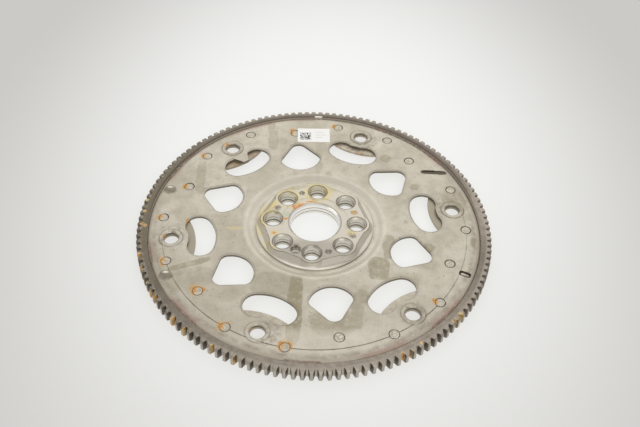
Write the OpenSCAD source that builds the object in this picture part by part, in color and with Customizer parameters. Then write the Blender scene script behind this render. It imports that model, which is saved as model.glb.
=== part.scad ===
// Flexplate: a stamped steel drive plate with a welded starter ring gear, lying with its engine side down.
// The axis of rotation is Z. The underside of the ring gear is at z = 0.

/* [Ring gear] */
// Number of starter teeth
teeth = 139; // [120:1:160]
// Diametral pitch that sets the pitch circle, in teeth per inch
pitch_dp = 12; // [11:0.5:13]
// Diametral pitch that sets the stub tooth's height
stub_dp = 14; // [13:0.5:16]
// Pressure angle of the teeth in degrees
pressure_angle = 20; // [14.5:0.5:25]
// Angle of the first tooth's centre in degrees
tooth_phase = 1.7; // [0:0.1:2.6]
// Face width of the ring gear
gear_w = 9.9; // [8:0.1:14]
// Wall between the tooth roots and the bore of the ring gear
ring_wall = 5; // [3.5:0.1:8]
// Width of the lead-in bevel on the upper ends of the teeth
lead_in = 1.5; // [0.5:0.1:2]
// Width of the bevel on the lower ends of the teeth
foot_bevel = 0.4; // [0.2:0.1:1]
// Width of the bevel at the upper edge of the ring gear's bore
bore_bevel = 0.5; // [0.2:0.1:1]
// How far the ring gear stands above the plate
gear_rise = 0.5; // [0:0.1:2]

/* [Drive plate] */
// Thickness of the plate
plate_t = 2.8; // [2:0.1:4]
// Width of the lowered band between the coined step and the rim flange's outside
rim_band = 12; // [8:0.25:16]
// Height of the coined step
step_h = 0.35; // [0.1:0.05:0.8]
// Outside radius of the bend into the rim flange
bend_r = 3.6; // [3:0.1:5]
// Height of the flange's lower edge above the underside of the ring gear
flange_lift = 1.2; // [0.5:0.1:3]
// Depth of the dished seat under the hub
hub_drop = 2.6; // [1:0.1:4]
// Width of the open seat round the front hub plate
seat_gap = 2.3; // [1:0.1:4]
// Width of the slope from the hub seat up to the flat plate
dish_w = 8; // [5:0.5:14]
// Width of the rolled edge round the openings
edge_w = 1.6; // [0.8:0.1:2.2]
// Depth of the rolled edge round the openings
edge_h = 0.8; // [0.4:0.1:1.2]

/* [Converter stations] */
// Number of converter bolt holes
stations = 6; // [4:1:6]
// Angle of the first converter bolt hole in degrees
station_phase = 130.9; // [0:0.1:360]
// How far the circle of the converter bolt holes lies inside the step of the rim band
converter_inset = 7.55; // [6:0.05:12]
// Diameter of a converter bolt hole
converter_d = 12.2; // [8:0.1:13]
// Diameter of the raised pad round a converter bolt hole
pad_d = 19; // [16:0.5:22]
// Height of the raised pad
pad_h = 0.35; // [0.1:0.05:0.8]
// Distance from the converter bolt hole to the inner edge of the kidney slot
kidney_reach = 36.7; // [34:0.1:38]
// Radius of the round ends of the kidney slot
kidney_end_r = 11; // [8:0.25:11.5]
// Half the distance between the centres of the round ends
kidney_half = 11; // [9:0.25:13]
// Depth of the shallow tongue between the slot's two outer lobes
tongue_h = 2; // [0.5:0.25:3]
// How far the long tab in the first slot reaches in from the tops of the lobes
tab_l = 9.5; // [5:0.25:12]
// Width of that tab at its tip
tab_w = 5; // [3:0.25:7]
// Angle that each side of the tab leans out from its axis
tab_lean = 26.5; // [10:0.5:30]

/* [Shield holes] */
// Radius of the rounded apex
apex_r = 7.5; // [5:0.25:9]
// Distance of the apex from the converter bolt circle, measured inwards
apex_gap = 17.75; // [16:0.25:24]
// Radius of the two lower corners
corner_r = 7; // [5:0.25:8]
// Half the distance between the centres of the lower corners
corner_half = 10.5; // [8:0.25:12]
// Height of the apex centre above the corner centres
side_h = 13.5; // [10:0.25:16]
// Height of the whole opening
shield_h = 34.3; // [30:0.1:36]

/* [Backing ring and rivets] */
// Thickness of the backing ring
backing_t = 2; // [1.2:0.1:3]
// Radial distance from the coined step out to the edge of the backing ring
backing_over = 5.5; // [5:0.25:6]
// Width of the backing ring between the converter lugs
backing_w = 22.5; // [20:0.5:24]
// How far the nose of a converter lug reaches in from the bolt circle
lug_reach = 19.85; // [16:0.05:24]
// Radius of the lug's nose
lug_nose_r = 54.6; // [40:0.2:70]
// Half the width of a lug
lug_half = 25; // [23:0.5:28]
// Diameter of the rivets
rivet_d = 7.4; // [5:0.1:8]
// Angle between an outer rivet and its converter bolt hole
rivet_spread = 11; // [9:0.25:14]
// Distance of the inner rivets from the converter bolt circle, measured inwards
rivet_inset = 2.4; // [1:0.1:4]
// Angle by which the second inner rivet is moved aside to clear the marking bar
rivet_aside = 4.1; // [0:0.1:6]
// Diameter of the upset rivet tails
tail_d = 10; // [8:0.25:12]
// Height of the upset rivet tails
tail_h = 1.2; // [0.8:0.1:2]
// Width of the groove round each rivet head
rivet_groove = 0.7; // [0.3:0.1:1]

/* [Hub] */
// Diameter of the pilot bore
pilot_d = 41.5; // [36:0.1:44]
// Number of crank bolt holes
bolts = 8; // [6:1:8]
// Diameter of the crank bolt circle
bolt_pcd = 70.6; // [66:0.1:74]
// Angle of the first crank bolt hole in degrees
bolt_phase = 87.9; // [0:0.1:360]
// Diameter of a crank bolt hole
bolt_d = 13.5; // [10:0.1:14]
// How much wider the bolt holes are in the drive plate than in the hub plates
bolt_ease = 0.8; // [0.2:0.1:1.2]
// Diameter of the countersink round a crank bolt hole
bolt_sink_d = 16.6; // [15:0.1:18]
// Depth of that countersink
bolt_sink_h = 1.5; // [0.5:0.1:2]
// Diameter of the front hub plate
hub_d = 99.4; // [94:0.2:106]
// Thickness of the front hub plate's round base
hub_base_t = 1.4; // [0.8:0.1:2]
// Height of the hub face above the drive plate
hub_rise = 2.8; // [1.5:0.1:5]
// Radius of the lobes round the crank bolts
lobe_r = 10.7; // [9.5:0.1:11.5]
// How far the lobes spread from the hub face down to the base
lobe_spread = 3.3; // [2:0.1:3.5]
// How far the flanks between two lobes spread from the hub face down to the base
flank_spread = 4.6; // [3:0.1:5]
// Width of the bevel on the rim of the round base
hub_edge = 0.5; // [0.2:0.1:0.7]
// How far the edge pulls in between two lobes
lobe_waist = 1.5; // [0:0.1:3]
// Width of the lead-in at the pilot bore
pilot_edge_w = 2.6; // [1:0.1:3.5]
// Depth of the lead-in at the pilot bore
pilot_edge_h = 1.9; // [1:0.1:2.5]
// Depth of the scalloped relief round the pilot bore
relief_h = 0.35; // [0.1:0.05:0.6]
// Width of the lobe's rim outside the relief's scallops
relief_rim = 0.9; // [0.5:0.1:1.5]
// Radius of the scalloped relief between two bolts
relief_r = 28.5; // [26:0.25:30]
// Thickness of the rear hub spacer
spacer_t = 3.2; // [2:0.1:3.9]
// Diameter of the rear hub spacer
spacer_d = 98; // [92:0.5:104]
// Width of the bevel on the rear hub spacer
spacer_edge = 0.6; // [0.2:0.1:1]
// Diameter of the dowel hole
dowel_d = 8; // [6:0.25:9]
// Diameter of the small locating hole
locator_d = 5; // [3:0.25:6]
// Depth of the small locating hole
locator_h = 3; // [1:0.25:5]
// Diameter of the hub rivets
hub_rivet_d = 5; // [3:0.25:6]
// Depth of the countersink round a hub rivet
hub_rivet_sink = 0.5; // [0.4:0.05:0.8]

/* [Small features] */
// Diameter of the two pressed bumps on the rim band
bump_d = 11; // [8:0.5:12]
// Height of the pressed bumps
bump_h = 2.2; // [1:0.1:3]
// Distance of the bumps from the coined step
bump_out = 4.2; // [2:0.1:6]
// Length of the marking bar
bar_l = 20; // [10:0.5:22]
// Width of the marking bar
bar_w = 3.8; // [2:0.1:5]
// Depth of the marking bar and of the round-ended mark
mark_h = 0.8; // [0.3:0.1:1.2]
// Length of the round-ended mark
mark_l = 9; // [6:0.25:9]
// Width of the round-ended mark
mark_w = 3.6; // [2:0.1:5]
// Length of the paper label
label_l = 30; // [20:0.5:32]
// Width of the paper label
label_w = 19; // [12:0.5:22]
// Thickness of the paper label
label_t = 0.12; // [0.1:0.01:0.3]

/* [Welds] */
// How far the welds lie below the rim band
weld_sag = 0.25; // [0:0.05:1]
// Depth of the welds in the groove beside the ring gear
weld_h = 2.2; // [1:0.1:2.5]
// Gap between pieces that are pressed, riveted or welded together
fit = 0.04; // [0.02:0.01:0.1]

/* [Hidden] */
$fn = 96;

inch = 25.4;
// Root depth of a tooth as a share of its addendum
dedendum_ratio = 1.25;
// Height of the root fillet and the flat share of the root
root_rise = 0.3;
root_flat = 0.7;
// How far cutters run past the faces that they cut
over = 1;
// How far a round end stands out past the arc or side it runs into, so that the two meet at a clear edge
end_swell = 0.05;
station_step = 360 / stations;
bolt_step = 360 / bolts;

// Ring gear radii
pitch_r = teeth * inch / pitch_dp / 2;
addendum = inch / stub_dp;
tip_r = pitch_r + addendum;
root_r = pitch_r - dedendum_ratio * addendum;
base_r = pitch_r * cos(pressure_angle);
ring_bore_r = root_r - ring_wall;
flange_r = ring_bore_r - fit;

// Heights
plate_top = gear_w - gear_rise;
plate_low = plate_top - plate_t;
rim_top = plate_top - step_h;
rim_t = plate_t - step_h;
seat_top = plate_top - hub_drop;
seat_low = seat_top - plate_t;
hub_t = hub_rise + hub_drop;
spacer_low = seat_low - spacer_t;
backing_low = plate_low - backing_t;

// Radii on the plate
step_r = flange_r - rim_band;
converter_r = step_r - converter_inset;
seat_r = hub_d / 2 + seat_gap;
bolt_r = bolt_pcd / 2;
pilot_r = pilot_d / 2;
rivet_out_r = step_r;
rivet_in_r = converter_r - rivet_inset;
backing_r = step_r + backing_over;

// Kidney slot, in a frame with X outwards through its converter hole
kidney_d = kidney_reach - kidney_end_r;
kidney_end_x = converter_r - sqrt(kidney_d ^ 2 - kidney_half ^ 2);
kidney_angle = asin(kidney_half / kidney_d);
tongue_x = kidney_end_x + kidney_end_r - tongue_h;
tongue_r = (kidney_half ^ 2 + tongue_h ^ 2) / (2 * tongue_h);
tab_x = kidney_end_x + kidney_end_r - tab_l;

// Shield hole, in a frame with X outwards through its apex
apex_x = converter_r - apex_gap - apex_r;
corner_x = apex_x - side_h;
shield_low = apex_x + apex_r - shield_h;
shield_base_rise = corner_x - corner_r - shield_low;
shield_base_r = (corner_half ^ 2 + shield_base_rise ^ 2) / (2 * shield_base_rise) + corner_r;
shield_base_x = shield_low + shield_base_r;
shield_angle = atan2(corner_half, shield_base_x - corner_x);
side_l = norm([side_h, corner_half]);
side_turn = atan2(corner_half, -side_h);
side_lean = asin((apex_r - corner_r) / side_l);
side_normal = side_turn - 90 + side_lean;

// Angles of the features that aren't evenly spaced, in degrees
weld_at = [51.5, 150.5, 196.5, 225, 268, 318];
weld_half = [16.5, 9.5, 4.5, 6.5, 6, 6];
bump_at = [165.1, 208.1];
hub_rivet_slots = [1, 4, 5, 6];
dowel_slot = 3;
locator_slot = 0;

// Places of the marking bar, the round-ended mark and the label
bar_at = [105, 69.4];
mark_at = -21.7;
label_at = [-4.8, 113.7];
label_turn = 2.2;

function involute(a) = tan(a) * 180 / PI - a;
function tooth_half(r) = 90 / teeth + involute(pressure_angle) - involute(acos(min(1, base_r / r)));
function polar(r, a) = [r * cos(a), r * sin(a)];
function slot_angle(k) = bolt_phase + (k + 0.5) * bolt_step;

// One copy per converter station, turned so that X points outwards
module at_stations(offset_angle = 0) {
    for (k = [0 : stations - 1])
        rotate(station_phase + offset_angle - k * station_step) children();
}

module at_bolts() {
    for (k = [0 : bolts - 1])
        rotate(bolt_phase + k * bolt_step) translate([bolt_r, 0, 0]) children();
}

module at_rivets() {
    for (side = [-1, 1])
        at_stations(side * rivet_spread) translate([rivet_out_r, 0, 0]) children();
    for (k = [0 : stations - 1])
        rotate(station_phase - (k + 0.5) * station_step + (k == 1 ? rivet_aside : 0))
            translate([rivet_in_r, 0, 0]) children();
}

module at_hub_rivets() {
    for (k = hub_rivet_slots)
        rotate(slot_angle(k)) translate([bolt_r, 0, 0]) children();
}

// Section of a cutter from its middle out to r, whose last bit of height below the plate's top flares out
module rolled_section(r, flare_h) {
    polygon([[0, plate_low - over], [r, plate_low - over], [r, plate_top - flare_h],
             [r + (flare_h + over) * edge_w / edge_h, plate_top + over], [0, plate_top + over]]);
}

// Round cutter whose top flares into the rolled edge
module rolled_hole(r) {
    rotate_extrude() rolled_section(r, edge_h);
}

// Sector with its point at the origin that opens along -X
module sector(half_angle, reach, low, high) {
    side = reach * tan(half_angle);
    translate([0, 0, low]) linear_extrude(high - low)
        polygon([[0, 0], [-reach, side], [-reach, -side]]);
}

// Slot on the inner side of a converter hole, with two round lobes and a shallow tongue between them
module kidney_cut() {
    difference() {
        translate([converter_r, 0, 0]) intersection() {
            rolled_hole(kidney_reach);
            sector(kidney_angle, kidney_reach + 2 * edge_w, plate_low - over, plate_top + over);
        }
        translate([tongue_x + tongue_r, 0, plate_low - 2 * over])
            cylinder(r = tongue_r, h = plate_t + 4 * over);
    }
    for (side = [-1, 1])
        translate([kidney_end_x, side * kidney_half, 0]) rolled_hole(kidney_end_r + end_swell);
}

// Long tab left standing in the first kidney slot, run out until it is past the slot's rolled edge
module slot_tab() {
    reach = tab_l + 2 * edge_w + over;
    root_half = tab_w / 2 + reach * tan(tab_lean);
    translate([tab_x, 0, plate_low - 2 * over]) linear_extrude(plate_t + 4 * over)
        polygon([[0, -tab_w / 2], [reach, -root_half], [reach, root_half], [0, tab_w / 2]]);
}

// Straight side of a shield hole with its rolled edge, from the apex to a corner
module shield_side() {
    straight = side_l * cos(side_lean);
    rotate(side_normal) rotate([90, 0, 0]) translate([0, 0, -straight]) linear_extrude(straight)
        rolled_section(apex_r, edge_h - end_swell);
}

// Rounded triangle that points outwards, with a bowed inner side
module shield_cut() {
    translate([apex_x, 0, 0]) {
        rolled_hole(apex_r + end_swell);
        shield_side();
        mirror([0, 1, 0]) shield_side();
        translate([0, 0, plate_low - over]) linear_extrude(plate_t + 2 * over)
            polygon([[0, 0], [-side_h, corner_half], [-side_h, -corner_half]]);
    }
    for (side = [-1, 1])
        translate([corner_x, side * corner_half, 0]) rolled_hole(corner_r + end_swell);
    translate([shield_base_x, 0, 0]) intersection() {
        rolled_hole(shield_base_r);
        sector(shield_angle, shield_base_r + 2 * edge_w, plate_low - over, plate_top + over);
    }
}

// Section of the plate from the pilot bore out to the bend of the rim flange
module plate_section() {
    steps = 12;
    dish = [for (i = [0 : steps]) [seat_r + dish_w * i / steps, hub_drop * (1 - cos(180 * i / steps)) / 2]];
    bend_x = flange_r - bend_r;
    top = concat([[pilot_r, seat_top]], [for (p = dish) [p[0], seat_top + p[1]]],
                 [[step_r, plate_top], [step_r, rim_top], [bend_x, rim_top]]);
    low = concat([[bend_x, plate_low]], [for (i = [steps : -1 : 0]) [dish[i][0], seat_low + dish[i][1]]],
                 [[pilot_r, seat_low]]);
    polygon(concat(top, low));
}

// Section of the bend and of the flange that carries the ring gear
module flange_section() {
    bend_z = rim_top - bend_r;
    intersection() {
        translate([flange_r - bend_r, bend_z]) difference() {
            circle(r = bend_r);
            circle(r = bend_r - rim_t);
        }
        translate([flange_r - bend_r, bend_z]) square(bend_r);
    }
    translate([flange_r - rim_t, flange_lift]) square([rim_t, bend_z - flange_lift]);
}

// Bump pressed up out of the rim band, hollow below
module bump(grow) {
    ball_r = ((bump_d / 2) ^ 2 + bump_h ^ 2) / (2 * bump_h);
    translate([0, 0, rim_top + bump_h - ball_r]) rotate([90, 0, 0]) sphere(r = ball_r + grow);
}

module plate_blank() {
    rotate_extrude() {
        plate_section();
        flange_section();
    }
    at_stations() translate([converter_r, 0, plate_top - over])
        cylinder(r1 = pad_d / 2 + over + pad_h, r2 = pad_d / 2, h = over + pad_h);
    for (a = bump_at)
        rotate(a) translate([step_r + bump_out, 0, 0]) intersection() {
            bump(0);
            translate([0, 0, rim_top - rim_t / 2]) cylinder(d = 2 * bump_d, h = bump_h + rim_t);
        }
}

module drive_plate() {
    color("#c3bcae") difference() {
        plate_blank();
        difference() {
            at_stations() kidney_cut();
            rotate(station_phase) slot_tab();
        }
        at_stations(-station_step / 2) shield_cut();
        at_stations() translate([converter_r, 0, plate_low - over]) {
            cylinder(d = converter_d, h = plate_t + pad_h + 2 * over);
            translate([0, 0, over + plate_t + pad_h - edge_h])
                cylinder(d1 = converter_d, d2 = converter_d + 4 * edge_h, h = 2 * edge_h);
        }
        at_rivets() translate([0, 0, plate_low - over]) {
            cylinder(d = rivet_d + 2 * fit, h = plate_t + 2 * over);
            translate([0, 0, over + plate_t - rivet_groove - step_h])
                cylinder(d1 = rivet_d, d2 = rivet_d + 4 * rivet_groove, h = 2 * rivet_groove + step_h);
        }
        at_bolts() translate([0, 0, seat_low - over])
            cylinder(d = bolt_d + bolt_ease, h = plate_t + 2 * over);
        at_hub_rivets() translate([0, 0, seat_low - over])
            cylinder(d = hub_rivet_d + 2 * fit, h = plate_t + 2 * over);
        rotate(slot_angle(dowel_slot)) translate([bolt_r, 0, seat_low - over])
            cylinder(d = dowel_d, h = plate_t + 2 * over);
        for (a = bump_at)
            rotate(a) translate([step_r + bump_out, 0, 0]) intersection() {
                bump(-rim_t);
                translate([0, 0, plate_low - over]) cylinder(d = 2 * bump_d, h = bump_h + rim_t + over);
            }
        translate([bar_at[0], bar_at[1], plate_top - mark_h])
            translate([-bar_l / 2, -bar_w / 2, 0]) cube([bar_l, bar_w, mark_h + over]);
        rotate(mark_at) translate([step_r + bump_out, 0, rim_top - mark_h]) linear_extrude(mark_h + over) {
            square([mark_l - mark_w, mark_w], center = true);
            for (side = [-1, 1]) translate([side * (mark_l - mark_w) / 2, 0]) circle(d = mark_w);
        }
    }
}

// Outline of the ring gear with stub involute teeth
module gear_outline() {
    steps = 3;
    start_r = root_r + root_rise;
    flank = [for (i = [0 : steps]) start_r + (tip_r - start_r) * i / steps];
    tooth = concat([for (i = [0 : steps]) [flank[i], -tooth_half(max(flank[i], base_r))]],
                   [for (i = [steps : -1 : 0]) [flank[i], tooth_half(max(flank[i], base_r))]]);
    root_half = root_flat * (180 / teeth - tooth_half(max(start_r, base_r)));
    root = [[root_r, 180 / teeth - root_half], [root_r, 180 / teeth + root_half]];
    polygon([for (k = [0 : teeth - 1])
             for (p = concat(tooth, root)) polar(p[0], p[1] + tooth_phase + k * 360 / teeth)]);
}

module ring_gear() {
    color("#6e6860") intersection() {
        linear_extrude(gear_w) gear_outline();
        rotate_extrude()
            polygon([[ring_bore_r, 0], [tip_r - foot_bevel, 0], [tip_r + over, foot_bevel + over],
                     [tip_r + over, gear_w - lead_in - over], [tip_r - lead_in, gear_w],
                     [ring_bore_r + bore_bevel, gear_w], [ring_bore_r, gear_w - bore_bevel]]);
    }
}

// Beads that fill the groove between the bend of the flange and the ring gear
module rim_welds() {
    bend_x = flange_r - bend_r;
    color("#8a6a58") for (k = [0 : len(weld_at) - 1])
        rotate(weld_at[k] - weld_half[k]) rotate_extrude(angle = 2 * weld_half[k]) difference() {
            translate([bend_x, rim_top - weld_sag - weld_h]) square([flange_r - bend_x, weld_h]);
            translate([bend_x, rim_top - bend_r]) circle(r = bend_r + fit);
        }
}

// Ring with a rounded lug behind each converter hole
module backing_ring() {
    inner_r = backing_r - backing_w;
    color("#a89f90") translate([0, 0, backing_low]) linear_extrude(backing_t) difference() {
        circle(r = backing_r);
        difference() {
            circle(r = inner_r);
            at_stations() intersection() {
                translate([converter_r - lug_reach + lug_nose_r, 0]) circle(r = lug_nose_r);
                translate([converter_r - lug_reach - over, -lug_half])
                    square([lug_reach + 2 * over, 2 * lug_half]);
            }
        }
        at_stations() translate([converter_r, 0]) circle(d = converter_d);
        at_rivets() circle(d = rivet_d + 2 * fit);
    }
}

module rivets() {
    color("#9b958a") at_rivets() {
        translate([0, 0, backing_low]) cylinder(d = rivet_d, h = backing_t + plate_t - step_h);
        translate([0, 0, backing_low - tail_h]) cylinder(d1 = tail_d - tail_h, d2 = tail_d, h = tail_h);
    }
}

// Hub body: a round base, a sloped lobe round each bolt and a sloped flank between two lobes
module hub_body() {
    foot = hub_base_t - hub_edge;
    slope_h = hub_t - foot;
    grow = over / slope_h;
    flank_x = bolt_r * cos(bolt_step / 2) + lobe_r - lobe_waist;
    flank_l = 2 * bolt_r * sin(bolt_step / 2) - lobe_r / 2;
    cylinder(d = hub_d, h = foot);
    translate([0, 0, foot]) cylinder(d1 = hub_d, d2 = hub_d - 2 * hub_edge, h = hub_edge);
    intersection() {
        translate([0, 0, foot / 2]) cylinder(r = hub_d, h = hub_t - foot / 2);
        translate([0, 0, foot]) {
            cylinder(r = bolt_r + lobe_waist, h = slope_h + over);
            at_bolts()
                cylinder(r1 = lobe_r + lobe_spread, r2 = lobe_r - grow * lobe_spread, h = slope_h + over);
            for (k = [0 : bolts - 1])
                rotate(slot_angle(k)) rotate([90, 0, 0]) linear_extrude(flank_l, center = true)
                    polygon([[0, 0], [flank_x + flank_spread, 0],
                             [flank_x - grow * flank_spread, slope_h + over], [0, slope_h + over]]);
        }
    }
}

module front_hub_plate() {
    color("#bdb5a4") translate([0, 0, seat_top]) difference() {
        hub_body();
        translate([0, 0, -over]) cylinder(d = pilot_d, h = hub_t + 2 * over);
        translate([0, 0, hub_t - pilot_edge_h])
            cylinder(r1 = pilot_r, r2 = pilot_r + 2 * pilot_edge_w, h = 2 * pilot_edge_h);
        at_bolts() {
            translate([0, 0, -over]) cylinder(d = bolt_d, h = hub_t + 2 * over);
            translate([0, 0, hub_t - bolt_sink_h])
                cylinder(d1 = bolt_d, d2 = 2 * bolt_sink_d - bolt_d, h = 2 * bolt_sink_h);
        }
        translate([0, 0, hub_t - relief_h]) difference() {
            cylinder(r = relief_r, h = relief_h + over);
            at_bolts() translate([0, 0, -over]) cylinder(r = lobe_r - relief_rim, h = relief_h + 3 * over);
        }
        rotate(slot_angle(dowel_slot)) translate([bolt_r, 0, -over])
            cylinder(d = dowel_d, h = hub_t + 2 * over);
        rotate(slot_angle(locator_slot)) translate([bolt_r, 0, hub_t - locator_h])
            cylinder(d = locator_d, h = locator_h + over);
        at_hub_rivets() {
            translate([0, 0, -over]) cylinder(d = hub_rivet_d + 2 * fit, h = hub_t + 2 * over);
            translate([0, 0, hub_t - hub_rivet_sink])
                cylinder(d1 = hub_rivet_d, d2 = hub_rivet_d + 4 * hub_rivet_sink, h = 2 * hub_rivet_sink);
        }
    }
}

module rear_hub_spacer() {
    color("#9a9284") difference() {
        translate([0, 0, spacer_low]) {
            translate([0, 0, spacer_edge]) cylinder(d = spacer_d, h = spacer_t - spacer_edge);
            cylinder(d1 = spacer_d - 2 * spacer_edge, d2 = spacer_d, h = spacer_edge);
        }
        translate([0, 0, spacer_low - over]) {
            cylinder(d = pilot_d, h = spacer_t + 2 * over);
            at_bolts() cylinder(d = bolt_d, h = spacer_t + 2 * over);
            at_hub_rivets() cylinder(d = hub_rivet_d + 2 * fit, h = spacer_t + 2 * over);
            rotate(slot_angle(dowel_slot)) translate([bolt_r, 0, 0])
                cylinder(d = dowel_d, h = spacer_t + 2 * over);
        }
    }
}

module hub_rivets() {
    color("#9b8f80") at_hub_rivets() translate([0, 0, spacer_low])
        cylinder(d = hub_rivet_d, h = spacer_t + plate_t + hub_t - relief_h);
}

module label() {
    color("#f2f2ee") translate([label_at[0], label_at[1], plate_top]) rotate(label_turn)
        translate([-label_l / 2, -label_w / 2, 0]) cube([label_l, label_w, label_t]);
}

drive_plate();
ring_gear();
rim_welds();
backing_ring();
rivets();
front_hub_plate();
rear_hub_spacer();
hub_rivets();
label();
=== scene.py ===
import bpy
import math
import numpy as np
from mathutils import Matrix, Vector


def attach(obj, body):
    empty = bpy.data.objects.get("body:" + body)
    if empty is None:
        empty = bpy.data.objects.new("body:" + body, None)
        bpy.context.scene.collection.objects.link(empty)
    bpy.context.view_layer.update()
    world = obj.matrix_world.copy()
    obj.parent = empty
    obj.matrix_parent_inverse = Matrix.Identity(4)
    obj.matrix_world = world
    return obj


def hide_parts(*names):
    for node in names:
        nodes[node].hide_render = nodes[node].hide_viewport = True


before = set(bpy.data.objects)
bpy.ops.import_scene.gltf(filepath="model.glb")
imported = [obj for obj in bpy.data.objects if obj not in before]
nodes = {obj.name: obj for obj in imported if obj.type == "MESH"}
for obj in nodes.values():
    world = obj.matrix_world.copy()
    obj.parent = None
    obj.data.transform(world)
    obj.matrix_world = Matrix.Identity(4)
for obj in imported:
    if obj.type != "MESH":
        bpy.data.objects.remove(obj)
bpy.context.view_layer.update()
mm = 0.001
anyHeight = 1000.0  # half height of a patch in mm, so tall that height plays no part
rgba = {"data_type": "RGBA"}  # for a Mix node that mixes colours
smooth = {"interpolation_type": "SMOOTHSTEP"}  # for a Map Range node with soft shoulders
print("frame loaded, pieces:", ", ".join(sorted(nodes)))


def linear(hexCode):
    # sRGB hex to the linear RGBA that the sockets take
    parts = [int(hexCode[i:i + 2], 16) / 255 for i in (1, 3, 5)]
    return tuple(c / 12.92 if c <= 0.04045 else ((c + 0.055) / 1.055) ** 2.4 for c in parts) + (1.0,)


def polar(radius, bearing, shift=(0.0, 0.0)):
    # x and y of a point on a circle about the hub, moved by shift
    angle = math.radians(bearing)
    return radius * math.cos(angle) + shift[0], radius * math.sin(angle) + shift[1]


def addNode(tree, kind, sockets=None, **settings):
    # one shader node: settings are its own options, sockets are set by value or linked; by number, a Map
    # Range takes value, from low, from high, to low, to high, and a Mix takes share and, at 6 and 7, colours
    node = tree.nodes.new("ShaderNode" + kind)
    for key, value in settings.items():
        setattr(node, key, value)
    for key, value in (sockets or {}).items():
        if isinstance(value, bpy.types.NodeSocket):
            tree.links.new(value, node.inputs[key])
        else:
            node.inputs[key].default_value = value
    return node


def newFinish(name):
    # a material, its shader, and the piece's own coordinates in millimetres
    finish = bpy.data.materials.new(name)
    finish.use_nodes = True
    tree = finish.node_tree
    place = addNode(tree, "TexCoord").outputs["Object"]
    inMm = addNode(tree, "VectorMath", {0: place, "Scale": 1000.0}, operation="SCALE").outputs[0]
    return finish, tree, tree.nodes["Principled BSDF"], inMm


def wander(tree, coords, size, reach):
    # coordinates that drift by up to about reach mm on a noise of the given grain size, for ragged rims;
    # the noise stays within 0.4 of its middle, which 2.5 brings to 1
    cloud = addNode(tree, "TexNoise", {"Vector": coords, "Scale": 1 / size, "Detail": 3.0}).outputs["Color"]
    centred = addNode(tree, "VectorMath", {0: cloud, 1: (0.5, 0.5, 0.5)}, operation="SUBTRACT").outputs[0]
    shift = addNode(tree, "VectorMath", {0: centred, "Scale": 2.5 * reach}, operation="SCALE").outputs[0]
    return addNode(tree, "VectorMath", {0: coords, 1: shift}, operation="ADD").outputs[0]


def patch(tree, coords, centre, half, turn=0.0, soft=0.3, boxy=False, strength=1.0):
    # full strength inside an ellipse about centre with half sizes in mm, 0 outside: the scaled offset has
    # length 1 on its rim; a boxy patch squares the offset first, which fills the corners
    place = {"Location": (centre[0], centre[1], 0), "Rotation": (0, 0, math.radians(turn)),
             "Scale": (half[0], half[1], anyHeight)}
    local = addNode(tree, "Mapping", {"Vector": coords, **place}, vector_type="TEXTURE").outputs[0]
    if boxy:
        local = addNode(tree, "VectorMath", {0: local, 1: local}, operation="MULTIPLY").outputs[0]
    reach = addNode(tree, "VectorMath", {0: local}, operation="LENGTH").outputs["Value"]
    return addNode(tree, "MapRange", {0: reach, 1: 1 + soft, 2: 1 - soft, 4: strength}, **smooth).outputs[0]


def bearingOf(tree, coords):
    # direction of the point as seen from the middle of the hub, in radians
    xyz = addNode(tree, "SeparateXYZ", {0: coords}).outputs
    return addNode(tree, "Math", {0: xyz["Y"], 1: xyz["X"]}, operation="ARCTAN2").outputs[0]


def arc(tree, bearing, middle, half, soft=2.0):
    # 1 within half degrees of the bearing middle
    off = addNode(tree, "Math", {0: bearing, 1: math.radians(middle)}, operation="SUBTRACT").outputs[0]
    off = addNode(tree, "Math", {0: off, 1: math.pi, 2: -math.pi}, operation="WRAP").outputs[0]
    away = addNode(tree, "Math", {0: off}, operation="ABSOLUTE").outputs[0]
    outer, inner = math.radians(half + soft), math.radians(half - soft)
    return addNode(tree, "MapRange", {0: away, 1: outer, 2: inner}, **smooth).outputs[0]


def band(tree, value, middle, half, soft, strength=1.0):
    # full strength where a value lies within half of middle
    off = addNode(tree, "Math", {0: value, 1: middle}, operation="SUBTRACT").outputs[0]
    away = addNode(tree, "Math", {0: off}, operation="ABSOLUTE").outputs[0]
    inner = max(half - soft, 0.0)
    return addNode(tree, "MapRange", {0: away, 1: half + soft, 2: inner, 4: strength}, **smooth).outputs[0]


def radiusOf(tree, coords):
    # distance from the middle of the hub, seen from above
    flat = addNode(tree, "VectorMath", {0: coords, 1: (1, 1, 0)}, operation="MULTIPLY").outputs[0]
    return addNode(tree, "VectorMath", {0: flat}, operation="LENGTH").outputs["Value"]


def levelOf(tree):
    # how level the surface lies: 1 where it faces up, 0 on an upright wall, -1 where it faces down
    normal = addNode(tree, "NewGeometry").outputs["Normal"]
    return addNode(tree, "SeparateXYZ", {0: normal}).outputs["Z"]


def strongest(tree, masks):
    # the largest of several masks at each point; made one by one, they keep the shader's memory small
    total = None
    for mask in masks:
        if total is None:
            total = mask
        else:
            total = addNode(tree, "Math", {0: total, 1: mask}, operation="MAXIMUM").outputs[0]
    return total


def spotted(tree, coords, spots, soft):
    # full strength in a group of ellipses, each given by centre x and y, half sizes and turn
    return strongest(tree, (patch(tree, coords, (x, y), (halfX, halfY), turn, soft)
                            for x, y, halfX, halfY, turn in spots))


def wear(tree, mask, coords, size, low, high):
    # a mask broken up by noise of the given grain size
    cloud = addNode(tree, "TexNoise", {"Vector": coords, "Scale": 1 / size, "Detail": 5.0, "Roughness": 0.65})
    holes = addNode(tree, "MapRange", {0: cloud.outputs["Fac"], 1: low, 2: high}).outputs[0]
    return addNode(tree, "Math", {0: mask, 1: holes}, operation="MULTIPLY").outputs[0]


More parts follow.
